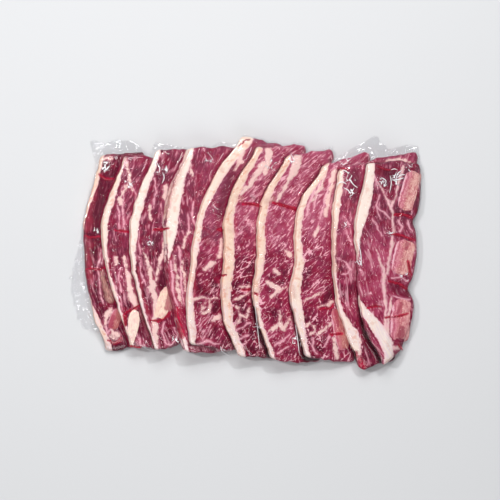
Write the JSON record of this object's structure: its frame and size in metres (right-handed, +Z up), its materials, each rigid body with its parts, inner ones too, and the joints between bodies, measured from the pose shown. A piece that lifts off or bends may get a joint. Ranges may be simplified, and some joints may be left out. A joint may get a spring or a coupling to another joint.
{
  "type": "raw beef short ribs",
  "caption": "Clear vacuum pack of thin bone-in beef short rib slices, raw and marbled, laid overlapping in a row with their white fat edges up.",
  "frame": {"origin": "middle of the pack's outline, on the surface that it lies on", "axes": "+X along the row of slices, from the first slice to the top one; +Y along the slices; +Z up"},
  "size_m": [0.3182, 0.2136, 0.0304],
  "materials": {
    "film": "clear, wrinkled vacuum film",
    "meat": "wet raw beef with white marbling",
    "bone": "sawn rib, moist",
    "blood": "thin red juice under the film"
  },
  "bodies": {
    "root": {"vacuum_pouch": "film", "slice_01": "meat", "slice_02": "meat", "slice_03": "meat", "slice_04": "meat", "slice_05": "meat", "slice_06": "meat", "slice_07": "meat", "slice_08": "meat", "slice_09": "meat", "slice_10": "meat", "bone_01": "bone", "bone_02": "bone", "bone_03": "bone", "bone_08": "bone", "bone_10_upper": "bone", "bone_10_middle": "bone", "bone_10_lower": "bone"}
  },
  "joints": []
}
